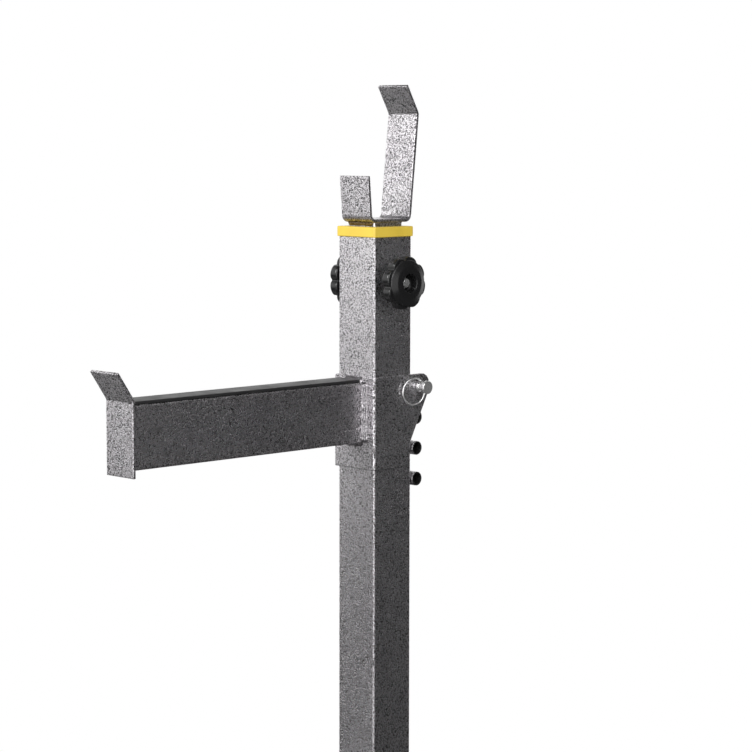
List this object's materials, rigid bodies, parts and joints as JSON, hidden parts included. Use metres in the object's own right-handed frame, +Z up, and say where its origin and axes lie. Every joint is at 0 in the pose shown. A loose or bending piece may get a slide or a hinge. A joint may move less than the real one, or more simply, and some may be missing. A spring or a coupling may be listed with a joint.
{
  "type": "squat stand",
  "caption": "Free-standing squat stand: square upright on a cross-foot base, height-adjustable bar saddle held by a through bolt, and a sliding spotter arm held by a ring pull pin.",
  "frame": {"origin": "middle of the base's footprint, on the floor", "axes": "+Z up, +X along a racked bar towards the pull pin's ring, -Y towards the lifter, along the spotter arm"},
  "size_m": [0.458, 0.7, 1.1989],
  "materials": {
    "hammertone_paint": "glossy silver-grey hammertone powder coat with fine dark veins",
    "weld_paint": "weld beads under the same coat, brighter on the ripples",
    "zinc_plate": "zinc-plated steel",
    "knob_plastic": "moulded black plastic with a soft gloss",
    "bushing_plastic": "satin yellow moulded plastic",
    "cap_plastic": "black moulded plastic with a fine grain",
    "foot_rubber": "black rubber",
    "liner_plastic": "black hard plastic strip"
  },
  "bodies": {
    "stand": {"base_runner": "hammertone_paint", "front_foot": "hammertone_paint", "rear_foot": "hammertone_paint", "base_plate": "hammertone_paint", "base_welds": "weld_paint", "front_foot_caps": "cap_plastic", "rear_foot_caps": "cap_plastic", "rubber_feet": "foot_rubber", "foot_screws": "zinc_plate", "foot_plate": "hammertone_paint", "gussets": "hammertone_paint", "plate_bolts": "zinc_plate", "plate_washers": "zinc_plate", "plate_nuts": "zinc_plate", "upright_tube": "hammertone_paint", "upright_welds": "weld_paint", "peg_tube_1": "hammertone_paint", "peg_tube_2": "hammertone_paint", "peg_tube_3": "hammertone_paint", "peg_tube_4": "hammertone_paint", "peg_welds": "weld_paint", "top_bushing": "bushing_plastic"},
    "post": {"sliding_post": "hammertone_paint", "post_guide": "cap_plastic", "saddle": "hammertone_paint", "saddle_welds": "weld_paint"},
    "bolt_washer": {"bolt_washer": "zinc_plate"},
    "lock_bolt": {"lock_bolt": "zinc_plate", "bolt_knob": "knob_plastic"},
    "nut_washer": {"nut_washer": "zinc_plate"},
    "nut_knob": {"nut_knob": "knob_plastic", "nut_insert": "zinc_plate"},
    "spotter": {"spotter_bracket": "hammertone_paint", "arm_tube": "hammertone_paint", "arm_liner": "liner_plastic", "end_plate": "hammertone_paint", "arm_welds": "weld_paint", "end_welds": "weld_paint"},
    "pull_pin": {"pull_pin": "zinc_plate", "detent_ball": "zinc_plate", "detent_spring": "zinc_plate"},
    "pull_ring": {"pull_ring": "zinc_plate"}
  },
  "joints": [
    {"name": "post_height", "type": "slide", "parent": "stand", "child": "post", "axis": [0, 0, 1], "range_m": [0, 0.45]},
    {"name": "bolt_draw", "type": "slide", "parent": "stand", "child": "bolt_washer", "axis": [-1, 0, 0], "range_m": [0, 0.072]},
    {"name": "bolt_knob_turn", "type": "hinge", "parent": "bolt_washer", "child": "lock_bolt", "pos_m": [0, 0.1, 1.0055], "axis": [1, 0, 0], "continuous": true},
    {"name": "nut_off", "type": "slide", "parent": "stand", "child": "nut_washer", "axis": [1, 0, 0], "range_m": [0, 0.03]},
    {"name": "nut_knob_turn", "type": "hinge", "parent": "nut_washer", "child": "nut_knob", "pos_m": [0, 0.1, 1.0055], "axis": [1, 0, 0], "continuous": true},
    {"name": "spotter_height", "type": "slide", "parent": "stand", "child": "spotter", "axis": [0, 0, 1], "range_m": [-0.093, 0]},
    {"name": "pin_draw", "type": "slide", "parent": "spotter", "child": "pull_pin", "axis": [1, 0, 0], "range_m": [0, 0.068]},
    {"name": "ring_swing", "type": "hinge", "parent": "pull_pin", "child": "pull_ring", "pos_m": [0.0352, 0.134, 0.9], "axis": [0, -0.309, 0.9511], "range_deg": [0, 75]}
  ]
}
